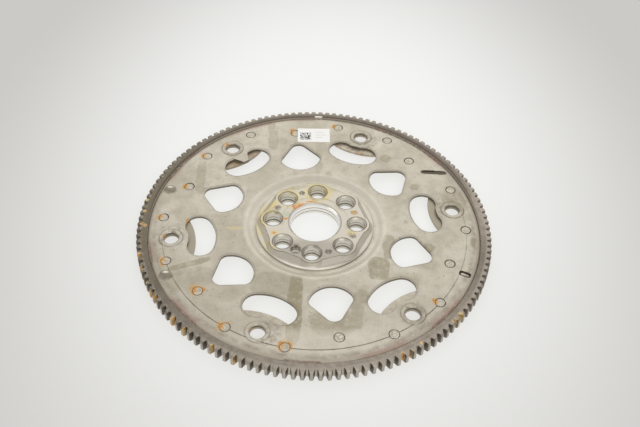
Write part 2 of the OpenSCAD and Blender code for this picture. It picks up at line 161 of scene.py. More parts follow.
def layer(tree, colour, tone, *masks):
    # a tone laid over the colour, its share being the product of the masks
    share = masks[0]
    for mask in masks[1:]:
        share = addNode(tree, "Math", {0: share, 1: mask}, operation="MULTIPLY").outputs[0]
    return addNode(tree, "Mix", {0: share, 6: colour, 7: linear(tone)}, **rgba).outputs[2]


def mottled(tree, coords, size, tones, levels=(0.35, 0.65), detail=6.0, roughness=0.65):
    # a skin of two tones that change places on a noise of the given grain size; the noise is given back too
    cloud = addNode(tree, "TexNoise", {"Vector": coords, "Scale": 1 / size, "Detail": detail,
                                       "Roughness": roughness}).outputs["Fac"]
    share = addNode(tree, "MapRange", {0: cloud, 1: levels[0], 2: levels[1]}).outputs[0]
    skin = addNode(tree, "Mix", {0: share, 6: linear(tones[0]), 7: linear(tones[1])}, **rgba).outputs[2]
    return cloud, skin


def grain(tree, coords, shader, size, height, strength=0.5):
    # fine bumps of the rolled and handled surface, size and height in mm
    cloud = addNode(tree, "TexNoise", {"Vector": coords, "Scale": 1 / size, "Detail": 6.0, "Roughness": 0.6})
    bump = addNode(tree, "Bump", {"Strength": strength, "Distance": height * mm,
                                  "Height": cloud.outputs["Fac"]})
    tree.links.new(bump.outputs[0], shader.inputs["Normal"])


# Drawn sheet steel, dull and dry: a pale warm grey with water marks, punched walls darkened partly as sheared
# steel and partly with painted shade, and a little rust.
# In every look a band is middle, half width, softness and, where it isn't 1, strength, an arc is bearing,
# half angle and softness in degrees, and lengths are in mm
plateLook = {
    "pale": "#CAC4B5", "base": "#BEB7A7", "shade": "#B2AA99", "stain": "#9F967E", "pitAndShade": "#92887A",
    "straw": "#D6C79B", "dish": "#E0DACC", "line": "#6C6153", "grimeAndShade": "#94897A", "bend": "#B8AD9E",
    "groove": "#857A6C", "heat": "#9A7464", "ring": "#5A5044", "gleam": "#F0ECE0", "smudge": "#8B7D6C",
    "barTone": "#625B4E", "ink": "#463F35", "wall": "#6F675B", "bolt": "#E2DED3", "bore": "#F4F2EC",
    "rust": "#E0B676", "oldRust": "#C08C4C", "smoothest": 0.42, "roughest": 0.6, "polished": 0.15,
    "mottleMm": 46.0, "cloudMm": 11.0, "pitMm": 8.0, "glintMm": 6.5,
    "grainMm": 0.7,  # rolled grain, drawn coarse enough to show
    "drift": (9.0, 1.6),  # grain size and reach of the ragged rims
    "roundSoft": 0.2, "boxSoft": 0.12, "smear": (-67.0, -9.0), "smearHalf": (7.5, 2.2),
    "nearLighter": (2.0, -121.0), "nearLighterHalf": (62.0, 11.0), "dishBand": (56.0, 4.0, 2.5, 0.7),
    "lineBand": (127.9, 0.3, 0.15, 0.75), "lineArc": (-75, 97, 3),
    "grimeAndShadeBand": (134.4, 1.8, 2.8, 0.7), "grimeAndShadeArc": (-80, 105, 30),
    "bendFrom": 134.0, "bendTo": 138.5, "deepFrom": 137.0, "deepTo": 139.0,
    "scaleFrom": 135.5, "scaleTo": 138.0, "heatBand": (137.6, 2.2, 1.6, 0.45), "seamSoft": 2.5,
    "stationPhase": 130.9, "stationHalf": 30.0, "rivetSpread": 11.0, "stepR": 127.8, "innerRivetR": 117.85,
    "rivetR": 3.7, "converterR": 120.25, "padR": 9.7, "asideBearing": 45.0, "asideHalf": 8.0,
    "ringLine": (0.15, 0.65, 0.3),  # how far outside the edge, half width, softness
    "rubbedArc": (-105, 60, 20), "glintBand": (132.5, 4.0, 2.5), "glintArc": (-72, 40, 20),
    "bar": (105.0, 69.4), "barHalf": (11.6, 2.6), "tagBearing": -21.7, "tagHalf": (4.9, 2.7),
    "tagCoreHalf": (3.3, 1.2), "markR": 132.0, "bumps": (165.1, 208.1),
    "punchedBand": (92.0, 41.0, 1.0), "boltBand": (35.0, 10.0, 1.0), "boreR": 22.0,
    "bumpSpots": (("pitAndShade", (0.3, -1.0), (5.4, 3.8), 0.3, 0.9),  # tone, shift, half sizes, softness, strength
                  ("gleam", (-0.3, 1.6), (2.2, 1.1), 0.6, 1.0)),
    "grooves": ((126, 13), (85, 15), (22, 13)),  # bearing and half angle of the open, dark stretches
    "heats": ((39, 4), (156, 4), (-135, 7), (-164, 4), (118, 9), (-40, 8), (96, 5), (-66, 8)),  # the same
    "smudges": ((120, -49, 11), (119, -106, 11), (121, -171, 11), (117, 13, 11), (116, 68, 11),
                (120, 131, 9)),  # radius, bearing, reach
    "roundStains": (  # centre x, y, half sizes, turn, strength
        (17, -102, 18, 14, 0, 0.6), (39.7, -77.3, 6, 8, 0, 0.5), (-45.4, 126, 3.5, 8, 0, 0.5),
        (1, 78.3, 3, 25, 0, 0.3), (-8, 56, 3.5, 6, 0, 0.3), (10.6, 61.5, 3, 4, 0, 0.4),
        (62, 85.5, 5, 5, 0, 0.6), (87, 49, 4, 4, 0, 0.6), (77, 6, 2, 2, 0, 0.5), (88.5, 12, 2, 2, 0, 0.4),
        (134, -15, 4, 7, 0, 0.6), (-96, -66, 22, 11, 22, 0.3), (122, 36, 9, 16, 18, 0.55),
        (94, -22, 6, 5, -20, 0.8), (86, -36, 17, 8, -20, 0.35), (-73, 3, 8, 18, 10, 0.12),
        (-110, 8, 10, 12, 0, 0.25), (70, -62, 16, 11, 30, 0.35), (18, -122, 26, 5, 3, 0.3),
        (-62, -78, 12, 7, 35, 0.3), (-24, 118, 3, 3, 0, 0.3), (-50, -92, 4, 9, 20, 0.45),
    ),
    "boxStains": (
        (-12.7, -90.6, 5.8, 33.8, 0, 0.95), (-28, -66.5, 20.5, 11.5, 0, 0.38), (36, -90, 4.5, 18, 0, 0.5),
        (53.3, -46.4, 8.6, 11.7, 0, 0.75), (62, -22.4, 5, 13, 0, 0.6), (-102.8, 49.9, 4, 21, 4, 0.5),
        (-42, 105, 4.5, 14, 3, 0.35), (-98.7, -49.9, 17, 3, 22.8, 0.7),
    ),
    "rustSpots": (  # centre x, y, half sizes, turn
        (-25.0, 118.6, 3.2, 3.6, 0), (-103.8, 79.4, 3.0, 3.2, 0), (-115.0, 38.8, 2.8, 3.6, 0),
        (-131.2, 0.4, 2.6, 3.4, 0), (-85.2, 95.6, 2.0, 2.6, 40), (-92.6, -75.4, 3.0, 4.4, 0),
        (-84.6, -75.8, 2.2, 2.6, 0), (-89.4, -77.0, 5.2, 4.8, 0), (-18.2, -125.2, 5.4, 4.8, 0),
        (-121.8, -48.6, 2.2, 4.8, 10), (-67.6, -110.0, 2.6, 4.6, 0), (-64.6, -106.8, 4.2, 1.3, 0),
        (-18.4, -122.6, 4.6, 1.4, 0), (-22.2, -125.6, 1.3, 4.0, 0), (-13.8, -126.0, 1.2, 3.2, 0),
        (-123.6, -21.8, 1.4, 3.6, 0), (-44.6, -111.6, 1.0, 2.2, 0), (13.6, 128.2, 2.6, 3.0, 0),
        (96.6, -78.0, 2.4, 3.6, 30), (-106.5, -4.0, 2.2, 4.5, 20),
    ),
}


def drawnSheet(look):
    finish, tree, shader, coords = newFinish("drawnSteelSheet")
    ragged = wander(tree, coords, *look["drift"])
    radius = radiusOf(tree, coords)
    bearing = bearingOf(tree, coords)
    raggedBearing = bearingOf(tree, ragged)
    big = addNode(tree, "TexNoise", {"Vector": coords, "Scale": 1 / look["mottleMm"],
                                     "Detail": 2.0}).outputs["Fac"]
    small = addNode(tree, "TexNoise", {"Vector": coords, "Scale": 1 / look["cloudMm"], "Detail": 6.0,
                                       "Roughness": 0.7}).outputs["Fac"]
    fine = addNode(tree, "TexNoise", {"Vector": coords, "Scale": 1 / look["grainMm"],
                                      "Detail": 2.0}).outputs["Fac"]
    bigMask = addNode(tree, "MapRange", {0: big, 1: 0.38, 2: 0.62}, **smooth).outputs[0]
    tones = {6: linear(look["base"]), 7: linear(look["pale"])}
    colour = addNode(tree, "Mix", {0: bigMask, **tones}, **rgba).outputs[2]
    smallMask = addNode(tree, "MapRange", {0: small, 1: 0.45, 2: 0.75, 4: 0.45}).outputs[0]
    colour = layer(tree, colour, look["shade"], smallMask)
    # dried water marks: flat darker shapes with ragged rims, some round and some boxy
    kinds = ((look["roundStains"], look["roundSoft"], False), (look["boxStains"], look["boxSoft"], True))
    marks = (patch(tree, ragged, (x, y), (halfX, halfY), turn, soft, boxy, strength)
             for spots, soft, boxy in kinds for x, y, halfX, halfY, turn, strength in spots)
    stain = wear(tree, strongest(tree, marks), coords, size=4.0, low=0.2, high=0.5)
    colour = layer(tree, colour, look["stain"], stain)
    # small dark pits and splashes, in loose clusters
    pits = addNode(tree, "TexVoronoi", {"Vector": coords, "Scale": 1 / look["pitMm"]},
                   voronoi_dimensions="2D").outputs["Distance"]
    pits = addNode(tree, "MapRange", {0: pits, 1: 0.12, 2: 0.05, 4: 0.55}).outputs[0]
    pits = wear(tree, pits, coords, size=30.0, low=0.4, high=0.62)
    colour = layer(tree, colour, look["pitAndShade"], pits)
    # a faint straw-coloured smear beside the left slot
    straw = patch(tree, ragged, look["smear"], look["smearHalf"], strength=0.5)
    colour = layer(tree, colour, look["straw"], straw)
    # painted highlight on the slope down to the hub seat, and a broad painted lighter patch on the near edge
    # of the sheet
    dish = band(tree, radius, *look["dishBand"])
    colour = layer(tree, colour, look["dish"], dish)
    nearLighter = patch(tree, ragged, look["nearLighter"], look["nearLighterHalf"], soft=0.5, strength=0.5)
    colour = layer(tree, colour, look["dish"], nearLighter)
    # painted shade: a thin dark line in the corner where the rim band was coined down, on the near half
    line = band(tree, radius, *look["lineBand"])
    lineArc = arc(tree, bearing, *look["lineArc"])
    line = addNode(tree, "Math", {0: line, 1: lineArc}, operation="MULTIPLY").outputs[0]
    line = wear(tree, line, coords, size=7.0, low=0.25, high=0.7)
    colour = layer(tree, colour, look["line"], line)
    # grime and painted shade along the rim, thickest near the viewer, then oxide that greys the outer bend
    grimeAndShade = band(tree, radius, *look["grimeAndShadeBand"])
    grimeAndShadeArc = arc(tree, bearing, *look["grimeAndShadeArc"])
    grimeAndShade = addNode(tree, "Math", {0: grimeAndShade, 1: grimeAndShadeArc}, operation="MULTIPLY").outputs[0]
    grimeAndShade = wear(tree, grimeAndShade, coords, size=8.0, low=0.3, high=0.6)
    colour = layer(tree, colour, look["grimeAndShade"], grimeAndShade)
    bend = {0: radius, 1: look["bendFrom"], 2: look["bendTo"], 4: 0.85}
    bend = addNode(tree, "MapRange", bend, **smooth).outputs[0]
    bend = wear(tree, bend, coords, size=6.0, low=0.2, high=0.5)
    colour = layer(tree, colour, look["bend"], bend)
    # painted shade in the open stretches of the groove, and heat tint beside the welds
    darkening = strongest(tree, (arc(tree, raggedBearing, middle, half, look["seamSoft"])
                            for middle, half in look["grooves"]))
    deep = addNode(tree, "MapRange", {0: radius, 1: look["deepFrom"], 2: look["deepTo"], 4: 0.6}).outputs[0]
    colour = layer(tree, colour, look["groove"], darkening, deep)
    heat = strongest(tree, (arc(tree, raggedBearing, middle, half, look["seamSoft"])
                            for middle, half in look["heats"]))
    heatBand = band(tree, radius, *look["heatBand"])
    colour = layer(tree, colour, look["heat"], heat, heatBand)
    # dark ring where each flush rivet meets the sheet, and a fainter ring of painted shade at the foot of
    # each
    # pad: bearings fold onto one station, so that one ring serves all
    phase, fold = math.radians(look["stationPhase"]), math.radians(look["stationHalf"])
    turned = addNode(tree, "Math", {0: bearing, 1: phase}, operation="SUBTRACT").outputs[0]
    folded = addNode(tree, "Math", {0: turned, 1: fold}, operation="PINGPONG").outputs[0]
    outside, lineHalf, lineSoft = look["ringLine"]
    circles = ((look["stepR"], look["rivetSpread"], look["rivetR"], 1.0),
               (look["innerRivetR"], look["stationHalf"], look["rivetR"], 1.0),
               (look["converterR"], 0.0, look["padR"], 0.4))
    rings = []
    for ringR, ringBearing, lineR, strength in circles:
        aside = addNode(tree, "Math", {0: folded, 1: math.radians(ringBearing)}, operation="SUBTRACT")
        across = addNode(tree, "Math", {0: aside.outputs[0], 1: ringR}, operation="MULTIPLY").outputs[0]
        outward = addNode(tree, "Math", {0: radius, 1: ringR}, operation="SUBTRACT").outputs[0]
        offset = addNode(tree, "CombineXYZ", {0: across, 1: outward}).outputs[0]
        reach = addNode(tree, "VectorMath", {0: offset}, operation="LENGTH").outputs["Value"]
        rings.append(band(tree, reach, lineR + outside, lineHalf, lineSoft, strength))
    # the inner rivet that stands aside of its place has a ring of its own
    elsewhere = arc(tree, bearing, look["asideBearing"] - 180, 180 - look["asideHalf"], 1)
    rings[1] = addNode(tree, "Math", {0: rings[1], 1: elsewhere}, operation="MULTIPLY").outputs[0]
    asidePlace = polar(look["innerRivetR"], look["asideBearing"]) + (0,)
    fromAside = addNode(tree, "VectorMath", {0: coords, 1: asidePlace}, operation="SUBTRACT").outputs[0]
    rings.append(band(tree, radiusOf(tree, fromAside), look["rivetR"] + outside, lineHalf, lineSoft))
    rings = wear(tree, strongest(tree, rings), coords, size=2.5, low=0.2, high=0.45)
    rubbed = arc(tree, bearing, *look["rubbedArc"])
    rubbed = addNode(tree, "MapRange", {0: rubbed, 3: 1.0, 4: 0.5}).outputs[0]
    colour = layer(tree, colour, look["ring"], rings, rubbed)
    # painted highlight: bright glints on the near rim
    glints = addNode(tree, "TexVoronoi", {"Vector": coords, "Scale": 1 / look["glintMm"]},
                      voronoi_dimensions="2D").outputs["Distance"]
    glints = addNode(tree, "MapRange", {0: glints, 1: 0.11, 2: 0.05, 4: 0.7}).outputs[0]
    glintBand = band(tree, radius, *look["glintBand"])
    glints = addNode(tree, "Math", {0: glints, 1: glintBand}, operation="MULTIPLY").outputs[0]
    glintArc = arc(tree, bearing, *look["glintArc"])
    glints = addNode(tree, "Math", {0: glints, 1: glintArc}, operation="MULTIPLY").outputs[0]
    glints = wear(tree, glints, coords, size=14.0, low=0.4, high=0.65)
    colour = layer(tree, colour, look["gleam"], glints)
    # brown smudges that bolt heads and sealant left round the pads
    smudges = strongest(tree, (patch(tree, ragged, polar(out, at), (half, half), soft=0.25, strength=0.8)
                               for out, at, half in look["smudges"]))
    smudges = wear(tree, smudges, coords, size=3.5, low=0.42, high=0.7)
    colour = layer(tree, colour, look["smudge"], smudges)
    # the marking bar and the outline of the round-ended mark are dark
    bar = patch(tree, coords, look["bar"], look["barHalf"], soft=0.15, boxy=True)
    colour = layer(tree, colour, look["barTone"], bar)
    tag = polar(look["markR"], look["tagBearing"])
    tagEdge = patch(tree, coords, tag, look["tagHalf"], look["tagBearing"], 0.1, boxy=True)
    tagCore = patch(tree, coords, tag, look["tagCoreHalf"], look["tagBearing"], 0.2, boxy=True)
    tagEdge = addNode(tree, "Math", {0: tagEdge, 1: tagCore}, operation="SUBTRACT").outputs[0]
    colour = layer(tree, colour, look["ink"], tagEdge)
    # painted shade in front of the pressed bumps and a painted highlight on top
    for tone, shift, half, soft, strength in look["bumpSpots"]:
        places = [polar(look["markR"], at, shift) for at in look["bumps"]]
        spots = strongest(tree, (patch(tree, coords, place, half, soft=soft, strength=strength)
                                 for place in places))
        colour = layer(tree, colour, look[tone], spots)
    # punched walls: dark where the surface stands upright, partly the sheared steel and partly painted shade,
    # but painted light in the bolt holes and the bore
    level = addNode(tree, "Math", {0: levelOf(tree)}, operation="ABSOLUTE").outputs[0]
    wall = addNode(tree, "MapRange", {0: level, 1: 0.6, 2: 0.15, 4: 0.85}).outputs[0]
    punched = band(tree, radius, *look["punchedBand"])
    colour = layer(tree, colour, look["wall"], wall, punched)
    bolts = band(tree, radius, *look["boltBand"])
    boltWall = addNode(tree, "Math", {0: wall, 1: bolts}, operation="MULTIPLY").outputs[0]
    colour = layer(tree, colour, look["bolt"], boltWall)
    boreWall = addNode(tree, "MapRange", {0: radius, 1: look["boreR"], 2: look["boreR"] - 0.5}).outputs[0]
    colour = layer(tree, colour, look["bore"], boreWall)
    # rust that bled out of the rivets and bolt holes, bright orange with darker grains
    rust = spotted(tree, ragged, look["rustSpots"], soft=0.45)
    rust = wear(tree, rust, coords, size=1.6, low=0.3, high=0.55)
    grains = addNode(tree, "MapRange", {0: fine, 1: 0.5, 2: 0.65, 4: 0.7}).outputs[0]
    tones = {6: linear(look["rust"]), 7: linear(look["oldRust"])}
    rustColour = addNode(tree, "Mix", {0: grains, **tones}, **rgba).outputs[2]
    colour = addNode(tree, "Mix", {0: rust, 6: colour, 7: rustColour}, **rgba).outputs[2]
    fineMask = addNode(tree, "MapRange", {0: fine, 1: 0.3, 2: 0.7, 3: 0.93, 4: 1.05}).outputs[0]
    colour = addNode(tree, "VectorMath", {0: colour, "Scale": fineMask}, operation="SCALE").outputs[0]
    tree.links.new(colour, shader.inputs["Base Color"])
    # oxide scale on the bend hides the metal, rust is dull, drilled walls are polished
    scale = {0: radius, 1: look["scaleFrom"], 2: look["scaleTo"], 3: 0.75, 4: 0.1}
    scale = addNode(tree, "MapRange", scale).outputs[0]
    tree.links.new(scale, shader.inputs["Metallic"])
    dull = {0: small, 1: 0.3, 2: 0.7, 3: look["smoothest"], 4: look["roughest"]}
    dull = addNode(tree, "MapRange", dull).outputs[0]
    dull = addNode(tree, "Math", {0: rust, 1: dull}, operation="MAXIMUM").outputs[0]
    drilled = strongest(tree, (boreWall, boltWall))
    dull = addNode(tree, "Mix", {0: drilled, 2: dull, 3: look["polished"]}).outputs[0]
    tree.links.new(dull, shader.inputs["Roughness"])
    grain(tree, coords, shader, size=1.2, height=0.12)
    return finish


# Hobbed gear steel, hardened and oily: a dark brown grey, lighter where the starter pinion wears the teeth
gearLook = {
    "dark": "#6A6257", "base": "#887F73", "paler": "#A59B8F", "toothTop": "#B0A79B", "land": "#BDB6AB",
    "root": "#CFC8BA", "flank": "#5B544A", "bore": "#D2C6B4", "olive": "#6F674F", "edge": "#544B40",
    "rust": "#EFC078", "amber": "#F8DCA0", "groundGleam": "#D8D5C8", "smoothest": 0.37, "roughest": 0.57,
    "mottleMm": 9.0, "amberMm": 6.0, "drift": (4.0, 0.9), "rootR": 144.8, "tipR": 148.9, "boreR": 139.9,
    "palerArcs": ((-75, 45, 35), (8, 14, 12)), "oliveArc": (172, 35, 20), "oliveShare": 0.4,
    "fleckArc": (185, 50, 15), "edgeArc": (95, 80, 15), "edgeBand": (140.3, 1.0, 0.5, 0.75),
    "groundGleamAt": (140.6, 90.5), "groundGleamHalf": (3.6, 1.1), "rustShare": 0.66,
    "rustSpots": (  # centre x, y and reach
        (-142, -10.2, 2.6), (-144.5, -9, 2.2), (-145, 6, 2.0), (-141.5, -42.2, 3), (-137.2, -56.5, 3.4),
        (-125.8, -80, 3.2), (-120.9, -85.7, 3.2), (-104, -105.6, 3.8), (-94, -115.6, 3.8), (-71, -129.4, 3.4),
        (-60, -137, 3), (-53.2, -138.5, 3.2), (69.2, -128.4, 2.4), (75.6, -125.5, 1.8), (110.5, -96.2, 2.6),
        (115.5, -89.8, 2.6), (-131, -70, 2.4), (-145, 20, 2.4), (84, -118, 2),
    ),
}


def gearRing(look):
    finish, tree, shader, coords = newFinish("hardenedGearSteel")
    radius = radiusOf(tree, coords)
    ragged = wander(tree, coords, *look["drift"])
    tones = (look["dark"], look["base"])
    big, colour = mottled(tree, coords, look["mottleMm"], tones, detail=5.0, roughness=0.6)
    # paler towards the viewer and at the right, an olive oil film at the left
    bearing = bearingOf(tree, coords)
    near = strongest(tree, (arc(tree, bearing, *palerArc) for palerArc in look["palerArcs"]))
    near = wear(tree, near, coords, size=5.0, low=0.2, high=0.6)
    colour = layer(tree, colour, look["paler"], near)
    olive = arc(tree, bearing, *look["oliveArc"])
    colour = layer(tree, colour, look["olive"], olive, look["oliveShare"])
    # teeth are rubbed paler than the ring on top, in flecks on the left
    top = {0: radius, 1: look["rootR"] - 1.6, 2: look["rootR"] + 0.2, 4: 0.6}
    top = addNode(tree, "MapRange", top).outputs[0]
    flecks = wear(tree, arc(tree, bearing, *look["fleckArc"]), coords, size=2.2, low=0.42, high=0.55)
    top = addNode(tree, "Math", {0: top, 1: flecks}, operation="SUBTRACT", use_clamp=True).outputs[0]
    colour = layer(tree, colour, look["toothTop"], top)
    # painted shade along the inner edge on the far side
    edge = band(tree, radius, *look["edgeBand"])
    edgeArc = arc(tree, bearing, *look["edgeArc"])
    colour = layer(tree, colour, look["edge"], edge, edgeArc)
    # upright faces: flanks darkened with painted shade between the teeth, bright root floors, lands polished
    # by the pinion, and a tan wall at the plate painted light against the shade of the groove
    level = addNode(tree, "Math", {0: levelOf(tree)}, operation="ABSOLUTE").outputs[0]
    wall = addNode(tree, "MapRange", {0: level, 1: 0.5, 2: 0.2}).outputs[0]
    faces = (("flank", look["rootR"] + 2.0, 1.7, 0.75), ("root", look["rootR"], 0.3, 0.8),
             ("land", look["tipR"], 0.15, 0.85), ("bore", look["boreR"], 0.6, 0.8))
    for tone, middle, half, strength in faces:
        part = band(tree, radius, middle, half, 0.1, strength)
        colour = layer(tree, colour, look[tone], part, wall)
    # rust between the teeth, amber where it is fresh, and a painted reflection on one ground spot on the far
    # side
    rust = strongest(tree, (patch(tree, ragged, (x, y), (look["rustShare"] * reach,) * 2, soft=0.4)
                            for x, y, reach in look["rustSpots"]))
    rust = wear(tree, rust, coords, size=1.5, low=0.32, high=0.55)
    bright = addNode(tree, "TexNoise", {"Vector": coords, "Scale": 1 / look["amberMm"]}).outputs["Fac"]
    bright = addNode(tree, "MapRange", {0: bright, 1: 0.4, 2: 0.6}).outputs[0]
    tones = {6: linear(look["rust"]), 7: linear(look["amber"])}
    rustColour = addNode(tree, "Mix", {0: bright, **tones}, **rgba).outputs[2]
    colour = addNode(tree, "Mix", {0: rust, 6: colour, 7: rustColour}, **rgba).outputs[2]
    groundGleam = patch(tree, coords, polar(*look["groundGleamAt"]), look["groundGleamHalf"], soft=0.15, boxy=True)
    colour = layer(tree, colour, look["groundGleam"], groundGleam)
    tree.links.new(colour, shader.inputs["Base Color"])
    scale = {0: radius, 1: look["boreR"] + 0.2, 2: look["boreR"] + 0.6, 3: 0.1, 4: 0.8}
    scale = addNode(tree, "MapRange", scale).outputs[0]
    tree.links.new(scale, shader.inputs["Metallic"])
    dull = {0: big, 1: 0.3, 2: 0.7, 3: look["smoothest"], 4: look["roughest"]}
    dull = addNode(tree, "MapRange", dull).outputs[0]
    dull = addNode(tree, "Math", {0: rust, 1: dull}, operation="MAXIMUM").outputs[0]
    tree.links.new(dull, shader.inputs["Roughness"])
    grain(tree, coords, shader, size=0.9, height=0.15)
    return finish


# Machined steel with a worn yellow passivation: pale grey lands, straw and olive patches, rust at the bore
hubLook = {
    "pale": "#D3CDBF", "base": "#C3BCAE", "dark": "#A39D92", "straw": "#CFC08A", "olive": "#A9A176",
    "rust": "#EBBB80", "teal": "#A9B7A0", "wall": "#E4E0D5", "bore": "#F6F4EF", "slope": "#D2CCBF",
    "joint": "#857D70", "crease": "#6E675B", "darkening": "#6A6255", "gleam": "#F4F1E8",
    "smoothest": 0.34, "roughest": 0.54, "rubbed": 0.7, "polished": 0.15, "mottleMm": 8.0,
    "drift": (4.0, 1.4),
    "boltPhase": 87.9, "boltFold": 22.5, "boltR": 35.3, "sinkR": 8.4, "lobeR": 10.7, "flankX": 41.8,
    "stainedHalf": 8.5, "boreR": 22.0, "slopeFrom": 40.0, "slopeTo": 42.0,
    "edgeLine": (-0.1, 0.25, 0.2, 0.7), "jointBand": (6.8, 0.7, 0.25),
    "gleamBand": (48.9, 0.9, 0.4, 0.8), "gleamArc": (-97, 24, 20), "dowelBearing": -114.6, "dowelHalf": 5.0,
    "shadeAt": (2, -33), "shadeHalf": (34, 13), "tealAt": (-24, 7), "tealHalf": (4, 3),
    "strawSpots": (  # centre x, y, half sizes, turn; the first two lie round bolt holes
        polar(35.3, 87.9) + (12.5, 12.0, 0), polar(35.3, 132.9) + (10, 10, 0), (-40, 16, 10, 5, 60),
        (-45, -2, 4, 14, 0), (-33, -15, 3.5, 3, 0), (-36, -28, 8, 3.5, -40), (30.8, -11.5, 3, 3.5, 0),
        (-27, 34, 8, 4, 40), (-46.5, 12, 3, 10, 10),
    ),
    "oliveSpots": ((-38, 8, 7, 12, 0), (-22, 40, 14, 5, 25), (8, 42, 12, 5, -15), (30, -13, 3, 3, 0)),
    "rustSpots": (
        (-13.5, 18.6, 4.2, 2.6, 36), (-17.6, 15.6, 2.4, 2.8, 30), (-24.5, 2.0, 2.2, 1.6, 0),
        (33.4, 12.6, 2.0, 1.8, 0), (-4, 23.5, 5, 1.0, 0), (-33.6, -14.6, 1.6, 1.2, 0), (5, 31, 1.5, 1.2, 0),
    ),
}


